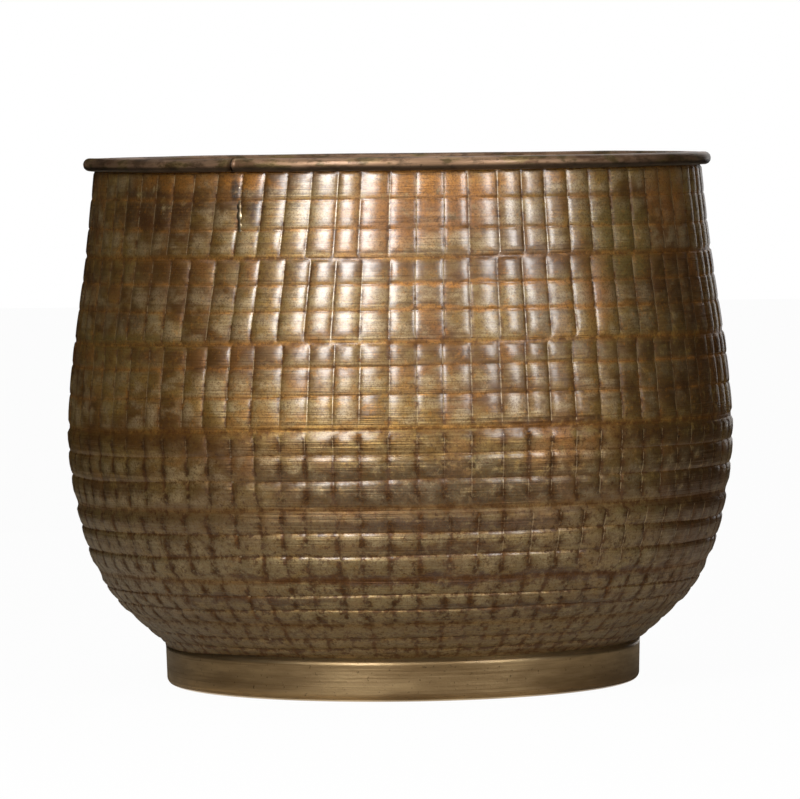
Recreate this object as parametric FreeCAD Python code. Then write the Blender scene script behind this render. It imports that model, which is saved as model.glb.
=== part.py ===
import FreeCAD, Part
import os
from math import cos, pi, radians, sin
from FreeCAD import Vector

# A round cachepot in hammered brass sheet on a separate foot ring, in millimetres.
# +Z is up, the origin is the centre of the circle that the foot rests on, and -Y is the front.

# Outside of the pot
overall_height = 263.2     # resting face to the top of the rim
neck_radius = 151.1        # outside of the wall, just under the rim
belly_radius = 165.3       # outside of the wall at its widest
belly_height = 130.0       # of the widest place, above the resting face
foot_radius = 119.0        # outside of the foot ring at its top
foot_height = 21.4         # of the place where the wall meets the foot ring

# Sheet, and the rim that is rolled round a wire
wall_sheet = 1.0
wire_radius = 2.2
wire_clearance = 0.05      # between the wire and the sheet rolled round it
neck_drop = 2.2            # from the underside of the rim to the start of the first row
curl_end_deg = 125.0       # how far past the outermost point the rolled edge runs on, downwards
wire_gap = 2.0             # between the two ends of the wire
wire_gap_deg = 20.0        # from the seam to that gap

# Rows of hammered cells, shown here as one soft swelling for each row
row_bulge = 0.7            # how far a row stands out between its two grooves

# The turned-in lower edge of the wall, and the base plate that lies on it
bend_radius = 9.0
ledge_width = 8.0
base_sheet = 1.2
base_clearance = 0.3       # between the edge of the base plate and the start of the bend

# Foot ring: a band with its lower edge turned in
foot_sheet = 1.0
foot_taper = 0.5           # how much narrower the band is at its lower end
foot_corner = 4.0          # outer radius of the turned-in edge
foot_flange = 5.0          # flat width that the pot rests on

# Brazed joints
seam_width = 1.2
seam_deg = 30.0            # of the wall's seam, left of the front
foot_seam_width = 1.0
foot_seam_deg = 180.0      # of the foot ring's seam, at the back
foot_seam_recess = 0.3     # by which that seam's filler stays clear of the resting face
base_fillet = 3.0          # how far the filler climbs up the wall from the base plate
foot_fillet = 2.6

overrun = 5.0              # by which every cut and blank runs past what it cuts

bead_radius = wire_radius + wire_clearance + wall_sheet
bead_height = overall_height - bead_radius
bead_ring_radius = neck_radius - wall_sheet + bead_radius
neck_height = overall_height - 2 * bead_radius - neck_drop
widest_radius = max(neck_radius, belly_radius, foot_radius)

# Outline of the wall, from the foot to the belly and from the belly to the neck.
# Each pair is a share of that stretch's height and a share of its change in radius.
lower_outline_shares = [(0.0, 0.0), (0.10, 0.275), (0.265, 0.615), (0.47, 0.825), (0.70, 0.945)]
upper_outline_shares = [(0.0, 1.0), (0.16, 0.905), (0.35, 0.72), (0.58, 0.43), (0.79, 0.19), (1.0, 0.0)]

# Grooves between the rows, from the neck down, as shares of the height from foot to neck
groove_shares = [
    1.0, 0.950, 0.889, 0.831,
    0.777, 0.722, 0.657,
    0.608, 0.548, 0.481,
    0.428, 0.376, 0.317,
    0.267, 0.220, 0.169,
    0.137, 0.106, 0.074,
    0.042,
]


def flat(radius, height):
    """A point of a section, in the plane that is turned about the Z axis."""
    return Vector(radius, 0, height)


def arc(first, middle, last):
    return Part.Arc(first, middle, last).toShape()


def turned(edges, angle_deg=360.0):
    """The solid that a closed section makes when it is turned about the Z axis."""
    face = Part.Face(Part.Wire(Part.__sortEdges__(edges)))
    solid = face.revolve(Vector(0, 0, 0), Vector(0, 0, 1), angle_deg)
    if solid.Volume < 0:
        solid.reverse()
    return solid


def turned_polygon(points):
    return turned([Part.makeLine(a, b) for a, b in zip(points, points[1:] + points[:1])])


def innermost(shape):
    """The solid of a shape that comes nearest to the Z axis."""
    axis = Part.makeLine(Vector(0, 0, 0), Vector(0, 0, overall_height))
    return min(shape.Solids, key=lambda solid: solid.distToShape(axis)[0])


def facing(shape, angle_deg):
    """Turns a shape that lies along +X until it points that far left of the front."""
    shape.rotate(Vector(0, 0, 0), Vector(0, 0, 1), -90.0 - angle_deg)
    return shape


def radial_slab(width, inner, outer, low, high, angle_deg):
    slab = Part.makeBox(outer - inner, width, high - low, Vector(inner, -width / 2, low))
    return facing(slab, angle_deg)


def wall_outline():
    """The smooth line that all grooves of the wall's outer face lie on."""
    stations = []
    for height_share, radius_share in lower_outline_shares:
        stations.append(flat(foot_radius + radius_share * (belly_radius - foot_radius),
                             foot_height + height_share * (belly_height - foot_height)))
    for height_share, radius_share in upper_outline_shares:
        stations.append(flat(neck_radius + radius_share * (belly_radius - neck_radius),
                             belly_height + height_share * (neck_height - belly_height)))
    curve = Part.BSplineCurve()
    curve.interpolate(stations)
    return curve


outline = wall_outline()


def outline_at(height):
    """The outline's point at a height, and the outward normal there."""
    level = Part.LineSegment(flat(0, height), flat(widest_radius + overrun, height))
    hit = outline.intersect(level)[0]
    point = flat(hit.X, hit.Z)
    along = outline.tangent(outline.parameter(point))[0]
    return point, Vector(along.z, 0, -along.x).normalize()


def row_edges(depth):
    """Arcs of all rows, with grooves that lie depth inside the outer face."""
    heights = [foot_height + share * (neck_height - foot_height) for share in groove_shares]
    heights[0] = neck_height
    edges = []
    for high, low in zip(heights, heights[1:]):
        ends = []
        for height in (high, low):
            point, normal = outline_at(height)
            ends.append(point - normal * depth)
        middle, normal = outline_at((high + low) / 2)
        edges.append(arc(ends[0], middle + normal * (row_bulge - depth), ends[1]))
    return edges, heights[-1]


# The bend at the wall's lower edge carries on from the outline and ends level
foot_point = outline.value(outline.FirstParameter)
foot_normal = Vector(outline.tangent(outline.FirstParameter)[0].z, 0,
                     -outline.tangent(outline.FirstParameter)[0].x).normalize()
bend_centre = foot_point - foot_normal * bend_radius
bend_half = (foot_normal + Vector(0, 0, -1)).normalize()
ledge_bottom = bend_centre.z - bend_radius
ledge_top = ledge_bottom + wall_sheet
base_top = ledge_top + base_sheet


def lower_edges(depth, lowest_groove):
    """Smooth strip under the last row, the bend, and the turned-in ledge."""
    top, top_normal = outline_at(lowest_groove)
    middle, middle_normal = outline_at((lowest_groove + foot_height) / 2)
    bend_start = foot_point - foot_normal * depth
    bend_end = bend_centre + Vector(0, 0, depth - bend_radius)
    ledge_end = bend_end - Vector(ledge_width, 0, 0)
    return [
        arc(top - top_normal * depth, middle - middle_normal * depth, bend_start),
        arc(bend_start, bend_centre + bend_half * (bend_radius - depth), bend_end),
        Part.makeLine(bend_end, ledge_end),
    ], ledge_end


def hammered_wall_blank():
    """The whole wall with its rolled rim, before the seam is cut."""
    outer_rows, lowest = row_edges(0)
    inner_rows, lowest = row_edges(wall_sheet)
    outer_low, outer_end = lower_edges(0, lowest)
    inner_low, inner_end = lower_edges(wall_sheet, lowest)

    neck_outer, neck_normal = outline_at(neck_height)
    neck_inner = neck_outer - neck_normal * wall_sheet
    centre = flat(bead_ring_radius, bead_height)
    hollow = bead_radius - wall_sheet

    def on_bead(radius, angle_deg):
        return centre + flat(radius * cos(radians(angle_deg)), radius * sin(radians(angle_deg)))

    turn = (180.0 - curl_end_deg) / 2
    rim = [
        Part.makeLine(neck_inner, on_bead(bead_radius, 180)),
        arc(on_bead(bead_radius, 180), on_bead(bead_radius, turn), on_bead(bead_radius, -curl_end_deg)),
        Part.makeLine(on_bead(bead_radius, -curl_end_deg), on_bead(hollow, -curl_end_deg)),
        arc(on_bead(hollow, -curl_end_deg), on_bead(hollow, turn), on_bead(hollow, 180)),
        Part.makeLine(on_bead(hollow, 180), neck_outer),
    ]
    ledge_edge = Part.makeLine(outer_end, inner_end)
    return turned(rim + outer_rows + outer_low + [ledge_edge] + inner_low + inner_rows)


def seam_slab(high):
    """The narrow upright gap of the wall's seam, up to a height."""
    return radial_slab(seam_width, bend_centre.x - ledge_width - overrun, widest_radius + overrun,
                       ledge_bottom - overrun, high, seam_deg)


wall_blank = hammered_wall_blank()


def hammered_wall():
    return wall_blank.cut(seam_slab(overall_height + overrun))


def wall_seam_braze():
    """Filler in the seam; it stops under the rim, where the seam shows as a notch."""
    return wall_blank.common(seam_slab(neck_height))


def rim_wire():
    """Wire inside the rolled rim, an open ring with its two ends almost touching."""
    gap_deg = 360.0 * wire_gap / (2 * pi * bead_ring_radius)
    circle = Part.Circle(flat(bead_ring_radius, bead_height), Vector(0, 1, 0), wire_radius)
    ring = turned([circle.toShape()], 360.0 - gap_deg)
    return facing(ring, seam_deg + wire_gap_deg)


def base_plate():
    """Flat disc that lies on the wall's turned-in ledge."""
    return Part.makeCylinder(bend_centre.x - base_clearance, base_sheet, Vector(0, 0, ledge_top))


def foot_blank():
    """The foot ring's section; it runs on upwards and is then cut to the wall."""
    low_radius = foot_radius - foot_taper
    corner = flat(low_radius - foot_corner, foot_corner)
    inner_corner = foot_corner - foot_sheet
    half = Vector(1, 0, -1).normalize()
    high = foot_height + overrun
    flange_end = corner.x - foot_flange
    return turned([
        Part.makeLine(flat(foot_radius, high), flat(low_radius, foot_corner)),
        arc(flat(low_radius, foot_corner), corner + half * foot_corner, flat(corner.x, 0)),
        Part.makeLine(flat(corner.x, 0), flat(flange_end, 0)),
        Part.makeLine(flat(flange_end, 0), flat(flange_end, foot_sheet)),
        Part.makeLine(flat(flange_end, foot_sheet), flat(corner.x, foot_sheet)),
        arc(flat(corner.x, foot_sheet), corner + half * inner_corner, flat(low_radius - foot_sheet, foot_corner)),
        Part.makeLine(flat(low_radius - foot_sheet, foot_corner), flat(foot_radius - foot_sheet, high)),
        Part.makeLine(flat(foot_radius - foot_sheet, high), flat(foot_radius, high)),
    ])


def above_wall_underside():
    """Everything that the wall's underside keeps the foot ring out of."""
    return turned_polygon([flat(0, ledge_bottom), flat(bend_centre.x, ledge_bottom),
                           flat(bend_centre.x, belly_height), flat(0, belly_height)])


def fitted_foot():
    band = foot_blank().cut(wall_blank).cut(above_wall_underside())
    return min(band.Solids, key=lambda solid: solid.BoundBox.ZMin)


foot_whole = fitted_foot()


def foot_seam_slab(low):
    """The narrow upright gap of the foot ring's seam, from a height upwards."""
    return radial_slab(foot_seam_width, foot_radius - foot_taper - foot_corner - foot_flange - overrun,
                       foot_radius + overrun, low, foot_height + overrun, foot_seam_deg)


def foot_ring():
    return foot_whole.cut(foot_seam_slab(-overrun))


def foot_seam_braze():
    return foot_whole.common(foot_seam_slab(foot_seam_recess))


def base_braze_ring():
    """Filler between the base plate's edge and the wall, all round inside."""
    edge = bend_centre.x - base_clearance
    blank = turned_polygon([flat(edge, base_top), flat(edge + bend_radius, base_top + base_fillet),
                            flat(edge + bend_radius, ledge_top), flat(edge, ledge_top)])
    return innermost(facing(blank, seam_deg).cut(wall_blank))


def foot_braze_ring():
    """Fillet of filler in the corner between the foot ring and the wall's underside."""
    corner = foot_radius - foot_sheet / 2
    high = foot_height + foot_sheet
    blank = turned_polygon([flat(corner, high), flat(corner, ledge_bottom - foot_fillet),
                            flat(corner - foot_sheet, ledge_bottom - foot_fillet),
                            flat(corner - foot_fillet - foot_sheet, ledge_bottom + foot_sheet / 2),
                            flat(corner - foot_fillet - foot_sheet, high)])
    fillet = facing(blank, seam_deg).cut(wall_blank).cut(foot_whole)
    return min(fillet.Solids, key=lambda solid: solid.BoundBox.ZMin)


os.makedirs("parts", exist_ok=True)
pieces = {
    "hammered_wall": hammered_wall(),
    "wall_seam_braze": wall_seam_braze(),
    "rim_wire": rim_wire(),
    "base_plate": base_plate(),
    "base_braze_ring": base_braze_ring(),
    "foot_ring": foot_ring(),
    "foot_seam_braze": foot_seam_braze(),
    "foot_braze_ring": foot_braze_ring(),
}
for name, piece in pieces.items():
    box = piece.optimalBoundingBox(False)
    print(name, piece.isValid(), len(piece.Solids), "solid(s)", round(piece.Volume), "mm3",
          "z", round(box.ZMin, 2), round(box.ZMax, 2), "x", round(box.XMin, 2), round(box.XMax, 2))
    piece.exportStep("parts/" + name + ".step")
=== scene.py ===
import bpy
import math
import numpy as np
from mathutils import Matrix, Vector


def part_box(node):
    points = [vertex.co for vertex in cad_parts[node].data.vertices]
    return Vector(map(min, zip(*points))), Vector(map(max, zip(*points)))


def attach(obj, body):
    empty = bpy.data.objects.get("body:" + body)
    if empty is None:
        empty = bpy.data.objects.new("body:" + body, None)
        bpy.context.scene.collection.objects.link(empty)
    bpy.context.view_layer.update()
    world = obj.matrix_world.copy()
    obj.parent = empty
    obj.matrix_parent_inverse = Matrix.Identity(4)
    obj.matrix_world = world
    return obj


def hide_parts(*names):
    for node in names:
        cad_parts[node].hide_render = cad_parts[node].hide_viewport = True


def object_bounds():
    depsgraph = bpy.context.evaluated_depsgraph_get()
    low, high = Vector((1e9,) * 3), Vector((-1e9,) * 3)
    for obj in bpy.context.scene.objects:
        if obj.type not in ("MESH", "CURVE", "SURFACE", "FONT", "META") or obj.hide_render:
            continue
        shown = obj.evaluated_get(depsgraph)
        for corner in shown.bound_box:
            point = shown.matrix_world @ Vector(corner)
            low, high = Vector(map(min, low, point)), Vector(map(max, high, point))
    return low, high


# A hammered brass cachepot. Metres, +Z up, and -Y is the front that the camera sees.
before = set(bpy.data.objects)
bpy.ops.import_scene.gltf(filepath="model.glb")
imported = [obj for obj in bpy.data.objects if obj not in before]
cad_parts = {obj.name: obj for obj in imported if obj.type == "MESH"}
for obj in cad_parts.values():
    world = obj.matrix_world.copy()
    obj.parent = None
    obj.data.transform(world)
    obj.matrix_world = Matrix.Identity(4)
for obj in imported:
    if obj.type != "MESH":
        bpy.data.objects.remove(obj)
cadLow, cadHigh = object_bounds()
chance = np.random.default_rng(41)
mm = 0.001
print("frame loaded")


# Shader maths: a Wire is one output of a node, and + - * on wires add Math nodes

class Wire:
    def __init__(self, finish, socket):
        self.finish = finish
        self.socket = socket

    def maths(self, operation, first, second):
        return self.finish.node("Math", {"operation": operation}, {0: first, 1: second})

    def __add__(self, other):
        return self.maths("ADD", self, other)

    def __radd__(self, other):
        return self.maths("ADD", other, self)

    def __sub__(self, other):
        return self.maths("SUBTRACT", self, other)

    def __rsub__(self, other):
        return self.maths("SUBTRACT", other, self)

    def __mul__(self, other):
        return self.maths("MULTIPLY", self, other)

    def __rmul__(self, other):
        return self.maths("MULTIPLY", other, self)

    def ramp(self, low, high):
        # 0 at low, 1 at high and smooth between; low may be the larger one
        return self.finish.node("MapRange", {"interpolation_type": "SMOOTHSTEP"},
                                {"Value": self, "From Min": low, "From Max": high})


class Finish:
    # one material, or the world, with its nodes made from plain expressions
    def __init__(self, name, world=None):
        self.material = world or bpy.data.materials.new(name)
        self.material.use_nodes = True
        self.tree = self.material.node_tree
        self.tree.nodes.clear()

    def node(self, kind, settings=None, values=None, out=0):
        made = self.tree.nodes.new("ShaderNode" + kind)
        for key, value in (settings or {}).items():
            setattr(made, key, value)
        for key, value in (values or {}).items():
            if isinstance(value, Wire):
                self.tree.links.new(value.socket, made.inputs[key])
            else:
                made.inputs[key].default_value = value
        return Wire(self, made.outputs[out])

    def place(self):
        return self.node("TexCoord", out="Object")

    def mark(self, name):
        return self.node("Attribute", {"attribute_name": name}, out="Fac")

    def axis(self, letter):
        return self.node("SeparateXYZ", None, {0: self.place()}, out=letter)

    def vector(self, operation, *parts, out=0):
        return self.node("VectorMath", {"operation": operation}, dict(enumerate(parts)), out)

    def stretched(self, across, up):
        # the place, scaled one way across the pot and another way up it
        return self.vector("MULTIPLY", self.place(), (across, across, up))

    def noise(self, scale, detail=3.0, roughness=0.5, where=None, out=0):
        return self.node("TexNoise", None, {"Vector": where or self.place(), "Scale": scale,
                                            "Detail": detail, "Roughness": roughness}, out)

    def streaks(self, across, up, detail=3.0):
        return self.noise(1.0, detail, 0.6, self.stretched(across, up))

    def tint(self, share, low, high):
        # sockets 6 and 7 and output 2 are the ones that a Mix node has for colours
        settings = {"data_type": "RGBA", "clamp_factor": True}
        return self.node("Mix", settings, {0: share, 6: low, 7: high}, out=2)

    def bump(self, height, distance):
        return self.node("Bump", None, {"Height": height, "Distance": distance, "Strength": 1.0})

    def brass(self, values):
        return self.done(self.node("BsdfPrincipled", None, values))

    def done(self, shader, what="Material"):
        output = self.tree.nodes.new("ShaderNodeOutput" + what)
        self.tree.links.new(shader.socket, output.inputs["Surface"])
        return self.material


def paint(red, green, blue):
    # a colour as it is seen on screen, from 0 to 255, as the linear colour that shaders take
    linear = []
    for value in (red, green, blue):
        share = value / 255
        linear.append(share / 12.92 if share <= 0.04045 else ((share + 0.055) / 1.055) ** 2.4)
    return (*linear, 1.0)


# Shapes that several pieces use

def smooth(value):
    value = np.clip(value, 0.0, 1.0)
    return value * value * (3 - 2 * value)


def hump(distance, width):
    return np.exp(-(distance / width) ** 2)


def wrapped(angle):
    # degrees, brought between -180 and 180
    return (angle + 180) % 360 - 180


def spline(knots, values, places):
    # a natural cubic spline through the values, read at the places
    count = len(knots)
    steps = np.diff(knots)
    system = np.eye(count)
    right = np.zeros(count)
    for k in range(1, count - 1):
        system[k, k - 1:k + 2] = steps[k - 1], 2 * (steps[k - 1] + steps[k]), steps[k]
        right[k] = 6 * ((values[k + 1] - values[k]) / steps[k] - (values[k] - values[k - 1]) / steps[k - 1])
    bend = np.linalg.solve(system, right)
    k = np.clip(np.searchsorted(knots, places) - 1, 0, count - 2)
    after = (places - knots[k]) / steps[k]
    before = 1 - after
    return (before * values[k] + after * values[k + 1]
            + ((before ** 3 - before) * bend[k] + (after ** 3 - after) * bend[k + 1]) * steps[k] ** 2 / 6)


def slowWave(angle, size, turns, shift):
    # a sum of three slow waves round the pot
    turn = np.radians(angle)
    return size * (np.sin(turns * turn + shift) + 0.6 * np.sin((turns + 2) * turn + 2.1 * shift)
                   + 0.4 * np.sin((2 * turns + 3) * turn + 3.7 * shift)) / 2


def ringPoints(radius, height, angle):
    # angle in degrees, 0 at the front and growing to the right
    turn = np.radians(angle)
    radius, height, turn = np.broadcast_arrays(radius, height, turn)
    return np.stack([radius * np.sin(turn), -radius * np.cos(turn), height], axis=-1)


def arcPoints(centre, radius, first, last, count):
    # points of an arc in a section; degrees, 0 outwards and 90 up
    turn = np.radians(np.linspace(first, last, count))
    return [(centre[0] + radius * math.cos(a), centre[1] + radius * math.sin(a)) for a in turn]


def gridFaces(rings, lines, ringsClosed, linesClosed):
    # quads between neighbouring rings, facing outwards where the rings run downwards
    ring = np.arange(rings if ringsClosed else rings - 1)
    line = np.arange(lines if linesClosed else lines - 1)
    ring, line = np.meshgrid(ring, line, indexing="ij")
    nextRing = (ring + 1) % rings
    nextLine = (line + 1) % lines
    corners = [ring * lines + line, nextRing * lines + line,
               nextRing * lines + nextLine, ring * lines + nextLine]
    return np.stack(corners, axis=-1).reshape(-1, 4).tolist()


def endFaces(rings, lines):
    # the two ends of a closed section that stops short of a full turn
    return [[ring * lines for ring in range(rings)],
            [ring * lines + lines - 1 for ring in reversed(range(rings))]]


def makePiece(name, points, faces, material, node, marks=None):
    # node: the CAD node that this piece is shown instead of; marks: a value for each point
    mesh = bpy.data.meshes.new(name)
    mesh.from_pydata(np.asarray(points).reshape(-1, 3).tolist(), [], faces)
    mesh.polygons.foreach_set("use_smooth", [True] * len(mesh.polygons))
    for key, values in (marks or {}).items():
        layer = mesh.attributes.new(key, "FLOAT", "POINT")
        layer.data.foreach_set("value", np.asarray(values, dtype=np.float32).ravel())
    mesh.materials.append(material)
    piece = bpy.data.objects.new(name, mesh)
    bpy.context.scene.collection.objects.link(piece)
    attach(piece, "root")
    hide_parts(node)


def turnedPiece(name, section, angles, closed, material, node, wobble=None):
    # section: radius and height of each corner, running down the outside and up the inside
    section = np.array(section)
    angles = np.asarray(angles)[None, :]
    radius = section[:, :1] + 0 * angles
    height = section[:, 1:] + 0 * angles
    if wobble:
        radius, height = wobble(radius, height, angles)
    rings, lines = radius.shape
    faces = gridFaces(rings, lines, True, closed)
    if not closed:
        faces += endFaces(rings, lines)
    makePiece(name, ringPoints(radius, height, angles), faces, material, node)


def dressNode(name, material):
    # a CAD node that is shown as it is, in a finish of its own
    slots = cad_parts[name].data.materials
    slots.clear()
    slots.append(material)


# The wall: one sheet with columns of soft hammered cells in bands of three rows

wall = {
    "neckRadius": 151.1 * mm,
    "bellyRadius": 165.3 * mm,
    "bellyHeight": 130.0 * mm,
    "footRadius": 119.0 * mm,
    "footHeight": 21.4 * mm,
    "neckHeight": 254.5 * mm,
    "sheet": 1.0 * mm,
    "bendRadius": 9.0 * mm,
    "ledgeWidth": 8.0 * mm,
    "underRim": 2.6 * mm,      # plain strip from the first row up to the rim
    "hollow": 0.25 * mm,       # of the inner face behind the middle of each column
    # shares of height and of change in radius: foot to belly, and belly to neck
    "lowerShares": [(0.0, 0.0), (0.10, 0.275), (0.265, 0.615), (0.47, 0.825), (0.70, 0.945)],
    "upperShares": [(0.0, 1.0), (0.16, 0.905), (0.35, 0.72), (0.58, 0.43), (0.79, 0.19), (1.0, 0.0)],
    # height, and degrees round from the front, of points that the seam runs through
    "seamAngles": [(0.262, -30.5), (0.217, -28.8), (0.190, -30.4),
                   (0.150, -30.0), (0.115, -29.2), (0.0, -29.6)],

    # lines over the rows, as shares of the height from foot to neck, one list for each band
    "bandShares": [[1.009, 0.950, 0.889], [0.831, 0.777, 0.722], [0.657, 0.608, 0.548],
                   [0.481, 0.428, 0.376], [0.317, 0.267, 0.220], [0.169, 0.137, 0.106],
                   [0.074, 0.042, 0.018]],
    # heights, and how far a line between rows drifts up and down there
    "driftHeights": [0.025, 0.060, 0.150, 0.200, 0.250],
    "rowDrift": [0.8 * mm, 1.5 * mm, 1.7 * mm, 0.4 * mm, 0.0],
    "driftLean": 0.9,          # share of the drift by which a line is higher at the right
    "rowWander": 0.20 * mm,

    "columns": 76,
    "firstLine": -6.5,         # degrees, where one column line runs in every band
    "frontPitch": [4.9, 4.8, 4.65, 4.64, 4.9, 4.75, 4.75],  # degrees between column lines at the front
    "lineJitter": 0.25,        # degrees
    "seamLevel": 200.0 * mm,   # the column line nearest to the seam at this height follows it
    "seamPull": [1.0, 0.6, 0.3],  # share of that line's shift that it and the lines beside it take
    "bandLean": [1.5, 1.3, 0.6, 0.0, 0.0, 0.0, 0.0],        # degrees that lines lean over left of the front
    "leanAngle": -28,          # degrees, where they lean most
    "leanWidth": 26,

    # points across a cell and down a row, as shares of it
    "acrossCell": [0.0, 0.04, 0.13, 0.34, 0.62, 0.86, 0.96],
    "downRow": [0.0, 0.035, 0.11, 0.30, 0.58, 0.84, 0.96],
    "cellHeight": [0.66 * mm, 0.66 * mm, 0.66 * mm, 0.40 * mm, 0.38 * mm, 0.36 * mm, 0.20 * mm],
    "bandSpread": 0.13,        # by which the height of cells differs between columns
    "rowSpread": 0.10,         # and between the rows of one column
    "cellLean": 0.15 * mm,     # by which one side of a cell stands out more
    "pillow": 3.0,             # a higher power makes the cells flatter and their sides steeper
    "rowDome": [0.17 * mm, 0.20 * mm, 0.24 * mm, 0.80 * mm, 0.72 * mm, 0.50 * mm, 0.20 * mm],
    "domePower": 2.2,
    "rowPeak": [1.0, 1.0, 1.0, 0.74, 0.68, 0.62, 0.7],  # under 1 the dome stands out most near its top
    "ribShare": [0.3, 0.3, 0.3, 0.92, 0.9, 0.8, 0.7],   # how much of the dome runs on between the cells
    "rowGroove": 0.38 * mm,
    "rowGrooveWidth": 0.55 * mm,
    # half the plain strip over each band and under the last, and the width in which the cells rise
    "stripHalf": [0.2 * mm, 0.35 * mm, 0.35 * mm, 1.3 * mm, 1.4 * mm, 1.6 * mm, 0.8 * mm, 0.5 * mm],
    "stripFade": [1.2 * mm, 1.2 * mm, 1.3 * mm, 1.7 * mm, 1.7 * mm, 1.7 * mm, 1.8 * mm],

    # widths of the marks that the finish reads
    "columnMark": 0.8 * mm,
    "rowMark": 0.6 * mm,
    "stripMark": 1.2 * mm,
    "blotWidth": 2.3 * mm,
    "blotHeight": 0.32,        # share of the row
    "bandBlot": [0.25, 0.25, 0.25, 1.0, 1.0, 1.0, 0.25],  # strength in each band
    "wornFrom": 0.55,          # share of a band, from its top, from which it has its full painted highlight and wear; above it the finish paints shade
}


def wallOutline():
    stations = []
    for heightShare, radiusShare in wall["lowerShares"]:
        stations.append((wall["footRadius"] + radiusShare * (wall["bellyRadius"] - wall["footRadius"]),
                         wall["footHeight"] + heightShare * (wall["bellyHeight"] - wall["footHeight"])))
    for heightShare, radiusShare in wall["upperShares"]:
        stations.append((wall["neckRadius"] + radiusShare * (wall["bellyRadius"] - wall["neckRadius"]),
                         wall["bellyHeight"] + heightShare * (wall["neckHeight"] - wall["bellyHeight"])))
    stations = np.array(stations)
    knots = np.concatenate([[0], np.cumsum(np.hypot(*np.diff(stations, axis=0).T))])
    places = np.linspace(0, knots[-1], 1600)
    radius = spline(knots, stations[:, 0], places)
    height = spline(knots, stations[:, 1], places)
    return radius, height, np.gradient(radius, height)


outlineRadius, outlineHeight, outlineSlope = wallOutline()


def outlineAt(height):
    # radius of the smooth outline at a height, and the outward normal's two parts
    slope = np.interp(height, outlineHeight, outlineSlope)
    length = np.hypot(1, slope)
    return np.interp(height, outlineHeight, outlineRadius), 1 / length, -slope / length


def seamAngle(height):
    heights, angles = zip(*reversed(wall["seamAngles"]))
    return np.interp(height, heights, angles)


def levelAt(share):
    return wall["footHeight"] + share * (wall["neckHeight"] - wall["footHeight"])


def rowLine(share, index, angle):
    # height of the line above one row; it drifts a little round the pot
    level = levelAt(share)
    drift = np.interp(level, wall["driftHeights"], wall["rowDrift"])
    lean = wall["driftLean"] * drift * np.sin(np.radians(angle))
    wander = min(index, 2) * slowWave(angle, wall["rowWander"], 5 + index % 3, index * 1.7)
    return level + drift * (np.cos(2 * np.radians(angle)) - 0.25) + lean + wander


def columnLines():
    # degrees of every column line in each band
    count = wall["columns"]
    even = wall["firstLine"] + 360 / count * np.arange(count)
    nearSeam = int(np.argmin(np.abs(wrapped(even - seamAngle(wall["seamLevel"])))))
    lines = []
    for band, pitch in enumerate(wall["frontPitch"]):
        stretch = pitch * count / 360 - 1
        line = even + math.degrees(stretch) * np.sin(np.radians(even - wall["firstLine"]))
        line = line + chance.normal(0, wall["lineJitter"], count)
        move = wrapped(seamAngle(levelAt(wall["bandShares"][band][1])) - line[nearSeam])
        for side in range(-2, 3):
            line[(nearSeam + side) % count] += move * wall["seamPull"][abs(side)]
        lines.append(line)
    return np.array(lines)


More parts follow.
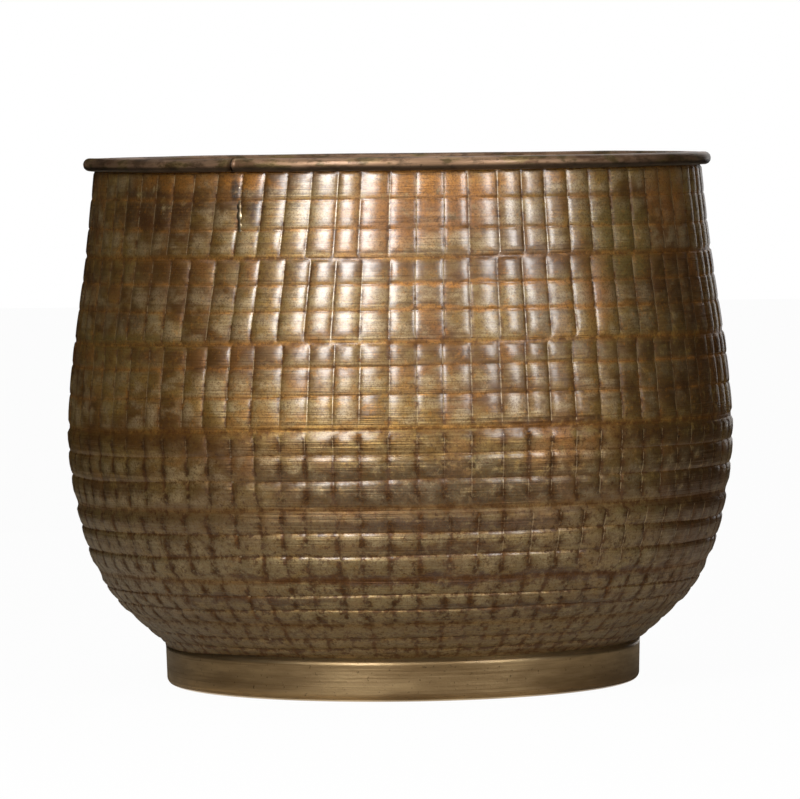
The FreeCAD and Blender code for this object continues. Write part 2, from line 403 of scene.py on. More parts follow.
def hammeredSheet(material):
    columns = wall["columns"]
    lines = columnLines()
    lastBand = len(lines) - 1
    share = np.tile(wall["acrossCell"], columns)
    cell = np.repeat(np.arange(columns), len(wall["acrossCell"]))
    rowShares = [top for band in wall["bandShares"] for top in band]
    rows = len(rowShares)
    rowShares.append(0.0)
    # one more row of sizes is drawn than there are bands, which the later draws rely on
    bandSize = chance.normal(1.0, wall["bandSpread"], (len(lines) + 1, columns))
    rowSize = chance.normal(1.0, wall["rowSpread"], (rows, columns))
    lean = chance.normal(0, wall["cellLean"], (rows, columns))
    tone = chance.uniform(0, 1, (rows, columns))

    rings = []
    names = ("columnGroove", "rowGroove", "bandStrip", "blot", "cellTone", "crest", "worn")
    marks = {name: [] for name in names}

    def addRing(radius, height, angle, **values):
        rings.append(ringPoints(radius, height, angle))
        for name in names:
            marks[name].append(values.get(name, 0.0) + 0 * share)

    def lineAngles(band, stripNear, otherBand):
        # column lines of a band, which run into those of the next band across the strip
        blended = lines[band] + (lines[otherBand] - lines[band]) * 0.5 * stripNear
        width = (np.roll(blended, -1) - blended) % 360
        return blended[cell] + share * width[cell]

    middle = lineAngles(0, 0.0, 0)
    rowLines = [rowLine(rowShare, row, middle) for row, rowShare in enumerate(rowShares)]
    pillow = 1 - np.abs(2 * share - 1) ** wall["pillow"]
    far = 1.0                  # metres, more than any distance on the pot

    addRing(wall["neckRadius"], wall["neckHeight"] + wall["underRim"], middle)
    for row in range(rows):
        band, inBand = divmod(row, 3)
        top, bottom = rowLines[row], rowLines[row + 1]
        size = bandSize[band, cell] * rowSize[row, cell]
        ribShare = wall["ribShare"][band]
        for place in wall["downRow"]:
            height = top + place * (bottom - top)
            fromTop = rowLines[band * 3] - height
            fromBottom = height - rowLines[band * 3 + 3]
            nearTop = 1 - smooth((fromTop - wall["stripHalf"][band]) / wall["stripFade"][band])
            nearBottom = 1 - smooth((fromBottom - wall["stripHalf"][band + 1]) / wall["stripFade"][band])
            raised = (1 - nearTop) * (1 - nearBottom)
            if fromTop.mean() < fromBottom.mean():
                angle = lineAngles(band, nearTop.mean(), max(band - 1, 0))
            else:
                angle = lineAngles(band, nearBottom.mean(), min(band + 1, lastBand))
            leanShare = hump(wrapped(angle - wall["leanAngle"]), wall["leanWidth"])
            angle = angle + wall["bandLean"][band] * (0.5 - (inBand + place) / 3) * leanShare

            dome = 1 - abs(2 * place ** wall["rowPeak"][band] - 1) ** wall["domePower"]
            fromStrip = np.minimum(fromTop if inBand == 0 else far, fromBottom if inBand == 2 else far)
            fromLine = np.minimum(np.abs(height - top) if inBand else far,
                                  np.abs(height - bottom) if inBand < 2 else far)
            proud = (wall["cellHeight"][band] * size * pillow * raised
                     + wall["rowDome"][band] * dome * (ribShare + (1 - ribShare) * pillow) * raised
                     + lean[row, cell] * (2 * share - 1) * pillow * raised
                     - wall["rowGroove"] * hump(fromLine, wall["rowGrooveWidth"]) * raised)
            radius, outward, upward = outlineAt(height)
            fromColumn = np.minimum(share, 1 - share) * 2 * np.pi * radius / columns
            blot = hump(fromColumn, wall["blotWidth"]) * hump(place - 0.5, wall["blotHeight"])
            # worn: 0 at the top of a band, where the finish paints shade, rising down it to 1, where it
            # paints highlight and wear; 1 all over the top band
            addRing(radius + proud * outward, height + proud * upward, angle,
                    columnGroove=hump(fromColumn, wall["columnMark"]) * raised,
                    rowGroove=hump(fromLine, wall["rowMark"]),
                    bandStrip=hump(np.maximum(fromStrip, 0), wall["stripMark"]),
                    blot=blot * wall["bandBlot"][band],
                    cellTone=tone[row, cell],
                    crest=pillow * (0.5 + 0.5 * dome) * raised,
                    worn=1.0 if band == 0 else smooth(fromTop / (fromTop + fromBottom) / wall["wornFrom"]))

    # plain strip, bend and turned-in ledge, then the inner face back up to the neck
    plain = lineAngles(lastBand, 1.0, lastBand)
    radius, outward, upward = outlineAt(wall["footHeight"])
    bendRadius = wall["bendRadius"]
    inside = bendRadius - wall["sheet"]
    centre = (radius - bendRadius * outward, wall["footHeight"] - bendRadius * upward)
    start = math.degrees(math.atan2(upward, outward))
    section = arcPoints(centre, bendRadius, start, -90, 6)
    section += [(centre[0] - wall["ledgeWidth"], centre[1] - bendRadius),
                (centre[0] - wall["ledgeWidth"], centre[1] - inside)]
    section += arcPoints(centre, inside, -90, start, 5)
    for radius, height in section:
        addRing(radius, height, plain)
    depth = wall["sheet"] - wall["hollow"] * (1 - np.abs(2 * share - 1) ** 2)
    for rise in np.linspace(0, 1, 15)[1:-1]:
        level = levelAt(rise ** 1.6)
        radius, outward, upward = outlineAt(level)
        addRing(radius - depth * outward, level - depth * upward, plain)
    addRing(wall["neckRadius"] - wall["sheet"], wall["neckHeight"] + wall["underRim"], middle)

    faces = gridFaces(len(rings), len(share), True, True)
    makePiece("hammered_sheet", rings, faces, material, "hammered_wall", marks)
    print("wall:", len(rings), "rings of", len(share), "points")


# Brass finishes

brassColours = {
    "bright": paint(200, 174, 130),
    "plain": paint(164, 130, 66),
    "deep": paint(112, 76, 33),
    "shade": paint(112, 72, 28),
    "copper": paint(180, 118, 58),
    "rust": paint(84, 52, 24),
    "orange": paint(204, 136, 52),
    "olive": paint(134, 116, 60),
    "purple": paint(76, 52, 42),
    "lowPatinaAndShade": paint(137, 121, 83),
    "paintedReflection": paint(150, 136, 112),
    "smudge": paint(46, 33, 18),
    "sootAndShadow": paint(30, 22, 13),
}

# stains, and some patches that are painted shade and one that is a painted reflection, each marked below
stainsAndShade = [
    # degrees round from the front, then height, half width and half height in mm, colour, strength
    (4, 241, 40, 15, "copper", 0.65),
    (-5, 224, 24, 9, "copper", 0.5),
    # painted shade at the upper left
    (-50, 242, 34, 16, "rust", 0.85),
    (-44, 252, 34, 5, "orange", 0.45),
    (-27, 252, 14, 4, "orange", 0.8),
    (12, 250, 34, 7, "orange", 0.6),
    (31, 252, 12, 4, "orange", 0.5),
    (-26, 237.5, 5, 8, "purple", 0.8),
    (-30.4, 247, 2.4, 8, "sootAndShadow", 0.9),
    (-29.2, 236, 1.2, 8, "sootAndShadow", 0.9),
    (59, 242, 20, 15, "copper", 0.6),
    (37, 197, 9, 17, "copper", 0.55),
    (25, 184, 16, 16, "rust", 0.35),
    (44, 220, 22, 22, "olive", 0.8),
    (-54, 186, 16, 7, "rust", 0.6),
    (12, 202.5, 60, 1.6, "orange", 0.7),
    (18, 190.5, 70, 1.6, "orange", 0.6),
    (26, 136, 30, 2.5, "rust", 0.9),
    (27, 122, 18, 13, "copper", 0.5),
    (-55, 174, 60, 4, "olive", 0.7),
    (8, 88, 60, 4, "purple", 0.75),
    (12, 76, 50, 3, "rust", 0.7),
    (5, 62, 75, 2.8, "purple", 0.95),
    (40, 61, 60, 2.6, "purple", 0.9),
    (-20, 62.5, 40, 1.8, "rust", 0.9),
    (-30, 51, 50, 2, "purple", 0.7),
    (25, 47, 60, 2, "purple", 0.7),
    (-60, 104, 40, 5, "rust", 0.6),
    # painted shade on the right side, in this entry and the next two
    (60, 100, 30, 6, "shade", 0.7),
    (72, 70, 50, 30, "shade", 0.7),
    (68, 158, 24, 46, "shade", 0.85),
    # painted reflection of the pale floor, lighter and greyer at the lower left
    (-62, 46, 44, 28, "paintedReflection", 0.5),
    # painted shade on the right side, lower down
    (64, 96, 36, 30, "rust", 0.6),
    # painted shade across the front below the belly
    (8, 109, 105, 13, "smudge", 0.62),
    # painted shade on the right side
    (55, 146, 46, 64, "smudge", 0.5),
]

patina = {
    "metallic": 0.72,
    "roughness": 0.38,
    "coat": 0.95,
    "coatRoughness": 0.27,
    "coatIor": 2.0,
    "bump": 0.55 * mm,
    "lowShadeHeights": (135 * mm, 60 * mm),     # the lower part, darker and duller as painted shade with a duller patina and more grime, comes in between these
    "lowerHeights": (145 * mm, 120 * mm),  # and the rounder rows between these
    # metres by which the edges of large and of small stains wander along X, Y and Z
    "tornEdge": (0.03, 0.03, 0.012),
    "frayedEdge": (0.004, 0.004, 0.003),
    "smallStain": 9,           # mm, the widest half width that has a frayed edge
}


# lays the stains, and the patches of painted shade and painted reflection, over a colour
def addStainsAndShade(f, colour, mottle):
    shake = f.noise(55.0, 4.0, 0.65, out=1)
    shake = f.vector("SUBTRACT", shake, (0.5, 0.5, 0.5))
    torn = f.vector("MULTIPLY_ADD", shake, patina["tornEdge"], f.place())
    frayed = f.vector("MULTIPLY_ADD", shake, patina["frayedEdge"], f.place())
    for angle, height, wide, tall, name, strength in stainsAndShade:
        radius = outlineAt(height * mm)[0]
        centre = tuple(ringPoints(radius, height * mm, angle))
        away = f.vector("SUBTRACT", torn if wide > patina["smallStain"] else frayed, centre)
        away = f.vector("MULTIPLY", away, (1 / (wide * mm), 1 / (wide * mm), 1 / (tall * mm)))
        away = f.vector("LENGTH", away, out="Value")
        share = away.ramp(1.35, 0.55) * strength * mottle.ramp(0.30, 0.50)
        colour = f.tint(share, colour, brassColours[name])
    return colour


def hammeredBrass():
    f = Finish("hammered brass")
    column = f.mark("columnGroove")
    row = f.mark("rowGroove")
    strip = f.mark("bandStrip")
    blot = f.mark("blot")
    tone = f.mark("cellTone")
    crest = f.mark("crest")
    worn = f.mark("worn")
    height = f.axis("Z")
    toRight = f.axis("X")
    low = height.ramp(*patina["lowShadeHeights"])
    lower = height.ramp(*patina["lowerHeights"])
    cloud = f.streaks(16.0, 42.0, 4.0)
    patch = f.streaks(60.0, 110.0, 4.0)
    turning = f.streaks(8.0, 820.0, 2.0)
    broad = f.streaks(12.0, 230.0, 3.0)
    mottle = f.noise(190.0, 4.0, 0.7)
    grimeAndShadow = f.noise(260.0, 4.0, 0.7)
    grain = f.noise(520.0, 4.0, 0.75)
    speck = f.noise(800.0, 2.0, 0.5).ramp(0.66, 0.74)
    fine = f.noise(1100.0, 3.0, 0.7)

    # clouds of brass tones; painted shade at the top of each band, and brighter where the cells stand out
    # lower in a band, as wear and painted highlight
    colour = f.tint(cloud.ramp(0.38, 0.62), brassColours["plain"], brassColours["deep"])
    colour = f.tint(cloud.ramp(0.60, 0.36) * patch.ramp(0.40, 0.62) * 0.7, colour, brassColours["olive"])
    # painted shade at the top of each band, under the band above it
    colour = f.tint((1 - worn) * mottle.ramp(0.36, 0.56) * 0.6, colour, brassColours["shade"])
    # painted highlight, with wear, on the crests lower in each band
    colour = f.tint(crest * worn * patch.ramp(0.42, 0.64) * 0.8, colour, brassColours["bright"])
    colour = f.tint(tone.ramp(0.6, 1.0) * patch.ramp(0.6, 0.4) * 0.4, colour, brassColours["copper"])
    # duller and darker towards the bottom: painted shade, and a duller patina
    colour = f.tint(low * (0.5 + 0.5 * broad), colour, brassColours["lowPatinaAndShade"])
    colour = f.tint(broad.ramp(0.50, 0.72) * 0.5, colour, brassColours["deep"])
    colour = addStainsAndShade(f, colour, mottle)

    # warm lines, then dirt, in the grooves and strips
    lines = row * patch.ramp(0.36, 0.56) * grain.ramp(0.30, 0.55)
    warm = (lines * 0.8 + strip * grain.ramp(0.34, 0.54) * 0.5) * (1 - 0.7 * lower)
    colour = f.tint(warm, colour, brassColours["orange"])
    colour = f.tint(column * mottle.ramp(0.45, 0.60) * 0.6, colour, brassColours["copper"])
    dirt = blot * mottle.ramp(0.40, 0.52) * 0.7 + (column * 0.9 + strip * 0.7) * mottle.ramp(0.42, 0.56)
    dirt = dirt + row * (0.55 + 0.45 * low) * grimeAndShadow.ramp(0.42, 0.54) + low * 0.6 * grimeAndShadow.ramp(0.50, 0.62)
    dirt = dirt.ramp(0, 1)
    colour = f.tint(dirt * 0.9, colour, brassColours["rust"])
    smudge = blot * mottle.ramp(0.36, 0.50) * patch.ramp(0.36, 0.53) * (1 - 0.3 * low)
    colour = f.tint(smudge * 0.85, colour, brassColours["smudge"])

    # fine grain, flecks and spots
    colour = f.tint(fine.ramp(0.48, 0.62) * 0.6, colour, brassColours["deep"])
    fleck = grain.ramp(0.48, 0.38) * mottle.ramp(0.46, 0.60) * (1 - 0.8 * lower)
    colour = f.tint(fleck * 0.35, colour, brassColours["orange"])
    spots = grain.ramp(0.52, 0.64) * mottle.ramp(0.40, 0.58)
    colour = f.tint(spots * (0.55 + 0.25 * lower), colour, brassColours["rust"])

    # painted highlight along the column lines: above the low part everywhere, and in it at the right
    paintedGlint = column.ramp(0.72, 1.0) * grain.ramp(0.34, 0.50)
    glintPart = height.ramp(0.10, 0.14) + toRight.ramp(0.01, 0.05) * height.ramp(0.055, 0.08)
    paintedGlint = paintedGlint * glintPart.ramp(0, 1) * (0.75 - 0.35 * lower * toRight.ramp(0.10, 0.06))
    colour = f.tint(paintedGlint * mottle.ramp(0.60, 0.50), colour, brassColours["bright"])
    colour = f.tint(speck * (0.08 + 0.9 * dirt), colour, brassColours["sootAndShadow"])

    coat = patina["coat"] - 0.35 * mottle.ramp(0.45, 0.65) - 0.3 * lines - 0.4 * strip
    coat = coat - 0.6 * smudge - 0.4 * height.ramp(0.22, 0.12)
    relief = turning * (2.2 - 1.1 * lower) + grain * 0.4 + broad * 0.4
    return f.brass({
        "Base Color": colour,
        "Metallic": patina["metallic"],
        "Roughness": patina["roughness"] + 0.14 * patch + 0.12 * dirt + 0.08 * tone - 0.06 * lower,
        "Coat Weight": coat,
        "Coat Roughness": patina["coatRoughness"],
        "Coat IOR": patina["coatIor"],
        "Normal": f.bump(relief, patina["bump"]),
    })


def simpleBrass(name, light, dark, across, up, rough, metallic=1.0, patches=(), shadowTop=0.0):
    # metal with fine marks, drawn out round the pot where up is above across
    # shadowTop: the height under which its outside is darkened, a painted shadow under the rim's bead
    f = Finish(name)
    lines = f.streaks(across, up, 4.0)
    cloud = f.streaks(14.0, 90.0, 4.0)
    grain = f.noise(500.0, 3.0, 0.6)
    colour = f.tint(cloud.ramp(0.3, 0.7), light, dark)
    colour = f.tint(lines.ramp(0.5, 0.7) * 0.6, colour, dark)
    colour = f.tint(grain.ramp(0.62, 0.74) * 0.6, colour, brassColours["sootAndShadow"])
    for step, patch in enumerate(patches):
        spread = f.noise(46.0 + 23.0 * step, 4.0, 0.65, f.stretched(1.0, 3.0))
        colour = f.tint(spread.ramp(0.50, 0.62) * 0.55, colour, brassColours[patch])
    # painted shadow on the outside under the bead
    if shadowTop:
        radius = f.vector("LENGTH", f.stretched(1.0, 0.0), out="Value")
        outside = radius.ramp(wall["neckRadius"] - 0.4 * mm, wall["neckRadius"])
        grimeAndShadow = f.axis("Z").ramp(shadowTop + 1.4 * mm, shadowTop) * outside
        colour = f.tint(grimeAndShadow * 0.8, colour, brassColours["sootAndShadow"])
    return f.brass({
        "Base Color": colour,
        "Metallic": metallic,
        "Roughness": rough + 0.18 * cloud,
        "Coat Weight": 0.25,
        "Coat Roughness": 0.2,
        "Normal": f.bump(lines * 0.6 + grain * 0.4, 0.2 * mm),
    })


wallBrass = hammeredBrass()
rimBrass = simpleBrass("rim brass", paint(170, 136, 106), paint(98, 74, 54), 26.0, 420.0, 0.38,
                       metallic=0.7, patches=("olive", "rust", "smudge"), shadowTop=258.2 * mm)
footBrass = simpleBrass("foot brass", paint(198, 172, 130), paint(138, 114, 80), 8.0, 900.0, 0.34)
plateBrass = simpleBrass("base brass", paint(160, 126, 80), paint(118, 90, 58), 60.0, 60.0, 0.42)
solder = simpleBrass("brazing filler", paint(208, 190, 156), paint(100, 80, 56), 200.0, 200.0, 0.28)
wireSteel = simpleBrass("rim wire steel", paint(120, 116, 112), paint(60, 52, 46), 90.0, 90.0, 0.4)
print("materials made")

hammeredSheet(wallBrass)


# The rolled rim: the top of the sheet turned outwards round the wire, open at the seam

rim = {
    "top": cadHigh.z,
    "wireRadius": 2.25 * mm,
    "sheet": 1.0 * mm,
    "curlEnd": -125,           # degrees
    "notch": 0.9 * mm,
    "lines": 420,
    "dent": 0.22 * mm,
    "sag": 0.2 * mm,           # keeps the dents under the rim's top
    "ripple": 0.08 * mm,
    "overlap": 0.3 * mm,       # of its skirt with the hammered sheet
    "skirtGap": 0.05 * mm,     # by which the skirt's outer face lies inside the sheet's
}


def rolledRim():
    outer = rim["wireRadius"] + rim["sheet"]
    ring = wall["neckRadius"] - rim["sheet"] + outer
    centre = (ring, rim["top"] - outer)
    section = arcPoints(centre, outer, 180, rim["curlEnd"], 22)
    section += arcPoints(centre, rim["wireRadius"], rim["curlEnd"], 180, 16)
    skirt = wall["neckHeight"] + wall["underRim"] - rim["overlap"]
    section += [(wall["neckRadius"] - rim["skirtGap"], skirt), (wall["neckRadius"] - rim["sheet"], skirt)]
    half = math.degrees(rim["notch"] / 2 / ring)
    middle = seamAngle(rim["top"])
    angles = np.linspace(middle + half, middle + 360 - half, rim["lines"])

    def dents(radius, height, angle):
        bead = smooth((height - wall["neckHeight"]) / outer)
        ripple = rim["ripple"] * np.sin(np.radians(angle * 31)) * np.sin(np.radians(angle * 13 + 40))
        radius = radius + bead * (slowWave(angle, rim["dent"], 7, 0.8) + ripple)
        return radius, height + bead * (slowWave(angle, rim["dent"], 5, 2.3) - rim["sag"])

    turnedPiece("rolled_rim", section, angles, False, rimBrass, "hammered_wall", dents)


rolledRim()
dressNode("rim_wire", wireSteel)
print("rim made")


# The brazed seam down the wall, with a few drops of filler near the rim

seam = {
    "halfWidth": 0.6 * mm,
    "proud": -0.12 * mm,       # of its outer face against the smooth outline, between the drops
    "sunk": 0.6 * mm,
    "steps": 260,
    "lines": 10,
    # height up the pot and size of each drop
    "drops": [(0.2400, 1.0 * mm), (0.2355, 1.4 * mm), (0.2310, 1.1 * mm),
              (0.2275, 0.8 * mm), (0.2490, 0.8 * mm)],
    "dropTall": 1.6,           # half height of a drop over its size
    "dropRise": 0.55 * mm,
}


def seamStrip():
    levels = np.linspace(wall["footHeight"], wall["neckHeight"], seam["steps"])
    turn = np.linspace(0, 2 * np.pi, seam["lines"], endpoint=False)
    radius, outward, upward = outlineAt(levels)
    swell = np.ones_like(levels)
    for level, size in seam["drops"]:
        swell += size / seam["halfWidth"] * hump(levels - level, seam["dropTall"] * size)
    side = np.cos(turn)[:, None] * seam["halfWidth"] * swell
    out = np.sin(turn)[:, None]
    rise = seam["proud"] + seam["dropRise"] * (swell - 1).clip(0, 2)
    proud = np.where(out > 0, out * rise, out * seam["sunk"])
    angle = seamAngle(levels) + np.degrees(side / radius)
    points = ringPoints(radius + proud * outward, levels + proud * upward, angle)
    faces = gridFaces(seam["lines"], seam["steps"], True, False) + endFaces(seam["lines"], seam["steps"])
    makePiece("seam_filler", points, faces, solder, "wall_seam_braze")


seamStrip()
print("seam made")


# Base plate, with the fillet of filler that holds it

plateLow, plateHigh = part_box("base_plate")
base = {
    "edge": 0.3 * mm,
    "hole": 0.2 * mm,          # radius of its centre mark, a hole too fine to be seen
    "turningMark": 0.05 * mm,
    "rings": 34,
    # the fillet's corners, outwards from the plate's rim and up from the plate's top
    "filletTop": [(7.0 * mm, 3.0 * mm), (5.2 * mm, 1.4 * mm), (2.4 * mm, 0.8 * mm),
                  (0.0, 0.5 * mm), (-2.4 * mm, 0.02 * mm), (-2.4 * mm, -0.2 * mm)],
    # and its lower ones, up from the underside of the CAD fillet
    "filletUnder": [(0.0, 0.1 * mm), (4.0 * mm, 0.2 * mm)],
    "filletWave": 0.9 * mm,    # of its inner edge
    "filletLumps": 0.35 * mm,  # of its top
}


def basePlate():
    low = plateLow.z
    high = plateHigh.z
    radius = plateHigh.x
    edge = base["edge"]
    section = [(base["hole"], high)]
    for step, share in enumerate(np.linspace(0.03, 0.985, base["rings"])):
        section.append((radius * share, high + base["turningMark"] * (step % 2)))
    section += [(radius - edge, high), (radius, high - edge), (radius, low), (base["hole"], low)]
    angles = np.linspace(0, 360, 180, endpoint=False)
    turnedPiece("base_disc", section, angles, True, plateBrass, "base_plate")


def baseFillet():
    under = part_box("base_braze_ring")[0].z
    edge = plateHigh.x
    top = plateHigh.z
    section = [(edge + out, top + up) for out, up in base["filletTop"]]
    section += [(edge + out, under + up) for out, up in base["filletUnder"]]
    angles = np.linspace(0, 360, 300, endpoint=False)

    def lumps(radius, height, angle):
        toe = smooth((edge + 2 * mm - radius) / (4 * mm))
        above = smooth((height - top) / (0.4 * mm))
        radius = radius + toe * slowWave(angle, base["filletWave"], 9, 1.1)
        return radius, height + above * (1 - toe) * slowWave(angle, base["filletLumps"], 17, 2.9)

    turnedPiece("base_fillet", section[::-1], angles, True, solder, "base_braze_ring", lumps)


basePlate()
baseFillet()
print("base made")


# Foot ring: a band with its lower edge turned in, and the filler in the corner above it

foot = {
    "radius": 119.0 * mm,
    "taper": 0.5 * mm,
    "corner": 4.0 * mm,
    "flange": 5.0 * mm,
    "sheet": 1.0 * mm,
    "tuck": 0.15 * mm,         # by which the top edge is drawn in and down, under the wall
    "ease": 0.2 * mm,          # bevel of the flange's inner edge
    "innerTop": (0.2 * mm, 2.2 * mm),  # by which the inner face ends further in and lower than the CAD
    "seamWidth": 1.0 * mm,
    "lines": 360,
    "wave": 0.12 * mm,
    "waveFade": 4.0 * mm,      # height in which the waves fade out at the top and the bottom
    "seamCalm": 12,            # degrees beside the seam without waves
    # the fillet's corners, inwards from the band's inner face: from the CAD fillet's underside
    "filletLow": [(-0.05 * mm, 0.0), (0.5 * mm, 0.4 * mm)],
    # and from the underside of the wall
    "filletHigh": [(1.5 * mm, -0.8 * mm), (2.9 * mm, 0.15 * mm)],
    "filletLumps": 0.3 * mm,
}


def footBand():
    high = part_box("foot_ring")[1].z
    radius = foot["radius"]
    lowRadius = radius - foot["taper"]
    bend = foot["corner"]
    corner = (lowRadius - bend, bend)
    sheet = foot["sheet"]
    top = high - foot["tuck"]
    toe = corner[0] - foot["flange"]
    section = [(radius - foot["tuck"], top)]
    for k in (4, 3, 2, 1):
        section.append((lowRadius + (radius - lowRadius) * k / 5, bend + (top - bend) * k / 5))
    section += arcPoints(corner, bend, 0, -90, 9)
    section += [(toe + foot["ease"], 0.0), (toe, foot["ease"])]
    section += [(toe, sheet - foot["ease"]), (toe + foot["ease"], sheet)]
    section += arcPoints(corner, bend - sheet, -90, 0, 7)
    section += [(lowRadius - sheet, 0.4 * top), (lowRadius - sheet, 0.7 * top)]
    section += [(radius - sheet - foot["innerTop"][0], high - foot["innerTop"][1])]
    half = math.degrees(foot["seamWidth"] / 2 / radius)
    angles = np.linspace(180 + half, 540 - half, foot["lines"])

    def waves(radius, height, angle):
        part = smooth((height - 0.5 * mm) / foot["waveFade"]) * smooth((high - height) / foot["waveFade"])
        away = smooth(np.minimum(angle - 180, 540 - angle) / foot["seamCalm"])
        return radius + part * away * (slowWave(angle, foot["wave"], 6, 1.9) - foot["wave"]), height

    turnedPiece("foot_band", section, angles, False, footBrass, "foot_ring", waves)


def footFillet():
    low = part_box("foot_braze_ring")[0].z
    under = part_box("hammered_wall")[0].z
    inner = foot["radius"] - foot["sheet"] - foot["tuck"]
    section = [(inner + 0.1 * mm, under + 0.7 * mm)]
    section += [(inner - inwards, low + up) for inwards, up in foot["filletLow"]]
    section += [(inner - inwards, under + up) for inwards, up in foot["filletHigh"]]
    angles = np.linspace(0, 360, 300, endpoint=False)

    def lumps(radius, height, angle):
        free = smooth((inner - radius) / (1.0 * mm)) * smooth((under + 0.1 * mm - height) / (0.4 * mm))
        radius = radius + free * slowWave(angle, foot["filletLumps"], 15, 0.7)
        return radius, height + free * slowWave(angle, foot["filletLumps"], 21, 1.3)

    turnedPiece("foot_fillet", section, angles, True, solder, "foot_braze_ring", lumps)


footBand()
footFillet()
dressNode("foot_seam_braze", solder)
print("foot made")


# Camera, floor, backdrop and studio lights

view = {
    "distance": 3.0,
    "height": 0.283,
    "pitch": 2.7175,           # degrees downwards
    "roll": 0.69,              # degrees, by which the picture is turned
    "lens": 270.0,
}


def addCamera():
    camera = bpy.data.cameras.new("camera")
    camera.lens = view["lens"]
    camera.sensor_width = 36.0
    camera.clip_end = 60.0
    holder = bpy.data.objects.new("camera", camera)
    bpy.context.scene.collection.objects.link(holder)
    tilt = Matrix.Rotation(math.radians(90 - view["pitch"]), 4, "X")
    turn = Matrix.Rotation(math.radians(-view["roll"]), 4, "Z")
    holder.matrix_world = Matrix.Translation((0, -view["distance"], view["height"])) @ tilt @ turn
    bpy.context.scene.camera = holder


studio = {
    # degrees round from the camera's side, distance, height, width, tall, power
    "lamps": {
        "key": (-20.5, 1.25, 0.73, 0.40, 0.80, 12.6),
        "fill": (39, 1.35, 0.68, 0.25, 0.74, 5.9),
        "top": (0, 0.05, 1.7, 0.90, 0.90, 4.0),
    },
    "lampAim": 0.13,           # height of the point that the lamps face
    "floor": 24,               # metres each way
    "backdrop": (30, 14),      # width and height
    "backdropPlace": (0, 6.0, 5.0),
    "floorLift": 0.97,         # how far the floor is lifted to white where it is seen
    "worldLight": 0.16,
    "cardColours": {
        "dark card": paint(22, 19, 17),
        "table card": paint(188, 177, 159),
        "room card": paint(226, 222, 216),
    },
    # upright dark cards: degrees round from the camera's side, and width
    "uprightCards": {"cardLeft": (-100, 2.2), "cardBack": (-152, 1.2), "cardRight": (106, 2.1)},
    "uprightPlace": (1.1, 0.55),   # their distance, and the height of their middle
    "uprightTall": 1.2,
    # cards that show in the metal alone: centre, a point that they face, width, height, colour
    "mirrorCards": {
        "cardTable": ((0, 0.6, 1 * mm), (0, 0.6, 0), 0.8, 4.0, "table card"),
        "cardWest": ((-1.2, 0.6, 1 * mm), (-1.2, 0.6, 0), 1.6, 4.0, "dark card"),
        "cardEast": ((1.2, 0.6, 1 * mm), (1.2, 0.6, 0), 1.6, 4.0, "dark card"),
        "cardFront": ((0, -2.0, 1.3), (0, 0, 1.3), 6.0, 2.5, "room card"),
        "cardTop": ((0, 0, 2.5), (0, 0, 0), 4.6, 4.0, "room card"),
    },
}


def lookingRays(f):
    # 1 for what the camera sees, straight or in metal
    straight = f.node("LightPath", out="Is Camera Ray")
    inMetal = f.node("LightPath", out="Is Glossy Ray")
    return (straight + inMetal + f.node("LightPath", out="Is Transmission Ray")).ramp(0, 1)


def paleStage(name, colour, seen):
    # a matt surface that keeps its shadow and is lifted towards white where it is seen
    f = Finish(name)
    matt = f.node("BsdfDiffuse", None, {"Color": colour})
    white = f.node("Emission", None, {"Color": (1, 1, 1, 1), "Strength": 1.0})
    return f.done(f.node("MixShader", None, {0: lookingRays(f) * seen, 1: matt, 2: white}))


def mattCard(name, colour):
    f = Finish(name)
    return f.done(f.node("BsdfDiffuse", None, {"Color": colour}))


def studioWorld():
    world = bpy.data.worlds.new("studio")
    bpy.context.scene.world = world
    f = Finish("studio", world)
    dim = f.node("Background", None, {"Color": (1.0, 1.0, 1.0, 1.0), "Strength": studio["worldLight"]})
    white = f.node("Background", None, {"Color": (1.0, 1.0, 1.0, 1.0), "Strength": 1.0})
    f.done(f.node("MixShader", None, {0: lookingRays(f), 1: dim, 2: white}), "World")


def around(azimuth, distance, height):
    # degrees from the camera's side, positive to the right
    turn = math.radians(azimuth)
    return (distance * math.sin(turn), -distance * math.cos(turn), height)


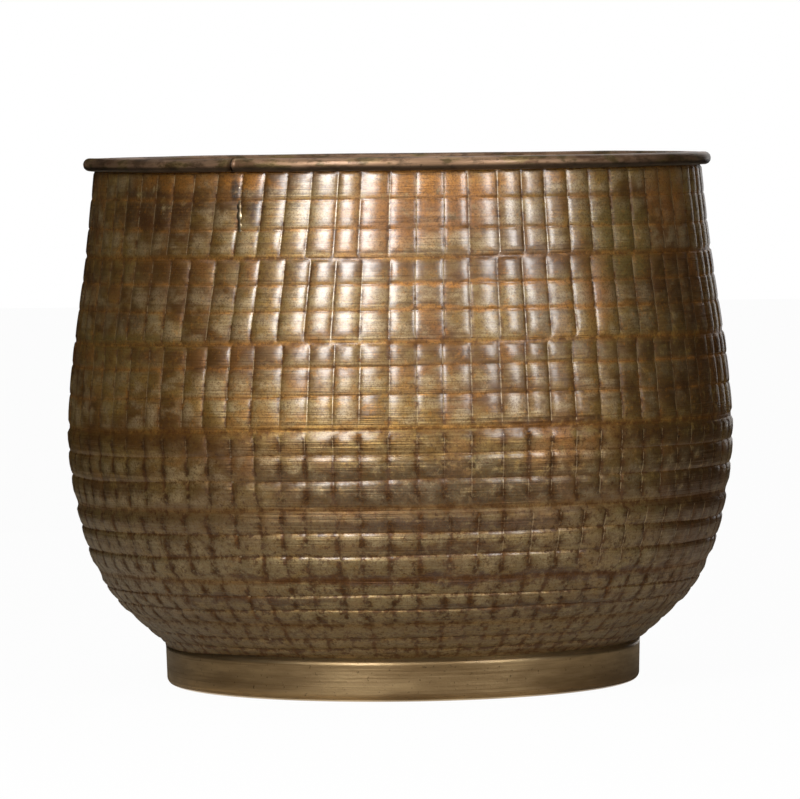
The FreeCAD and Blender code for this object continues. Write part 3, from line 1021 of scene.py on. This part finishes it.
def facing(place, point):
    # the place, with local Z pointing away from the point
    aim = Vector(place) - Vector(point)
    return Matrix.Translation(place) @ aim.to_track_quat("Z", "Y").to_matrix().to_4x4()


def panel(name, centre, point, width, height, material):
    # a flat card square to the line from its centre to a point
    mesh = bpy.data.meshes.new(name)
    w = width / 2
    h = height / 2
    mesh.from_pydata([(-w, -h, 0), (w, -h, 0), (w, h, 0), (-w, h, 0)], [], [(0, 1, 2, 3)])
    mesh.materials.append(material)
    card = bpy.data.objects.new(name, mesh)
    bpy.context.scene.collection.objects.link(card)
    card.matrix_world = facing(centre, point)
    return card


def softbox(name, azimuth, distance, height, width, tall, power):
    lamp = bpy.data.lights.new(name, "AREA")
    lamp.shape = "RECTANGLE"
    lamp.size = width
    lamp.size_y = tall
    lamp.energy = power
    holder = bpy.data.objects.new(name, lamp)
    bpy.context.scene.collection.objects.link(holder)
    holder.matrix_world = facing(around(azimuth, distance, height), (0, 0, studio["lampAim"]))
    holder.visible_camera = False


def addStudio():
    for name, setting in studio["lamps"].items():
        softbox(name, *setting)
    floorWhite = paleStage("floor white", paint(236, 235, 233), studio["floorLift"])
    backdropWhite = paleStage("backdrop white", paint(250, 250, 250), 1.0)
    floor = panel("floor", (0, 0, 0), (0, 0, -1), studio["floor"], studio["floor"], floorWhite)
    floor.matrix_world = Matrix.Identity(4)
    place = studio["backdropPlace"]
    panel("backdrop", place, (0, 0, place[2]), *studio["backdrop"], backdropWhite)
    cards = {name: mattCard(name, colour) for name, colour in studio["cardColours"].items()}
    distance, middle = studio["uprightPlace"]
    for name, (azimuth, width) in studio["uprightCards"].items():
        place = around(azimuth, distance, middle)
        card = panel(name, place, (0, 0, middle), width, studio["uprightTall"], cards["dark card"])
        card.visible_camera = False
    for name, (centre, point, width, height, colour) in studio["mirrorCards"].items():
        card = panel(name, centre, point, width, height, cards[colour])
        card.visible_camera = False
        card.visible_shadow = False
        card.visible_diffuse = False
    studioWorld()


addCamera()
addStudio()
bpy.context.scene.view_settings.view_transform = "Standard"
print("studio made")
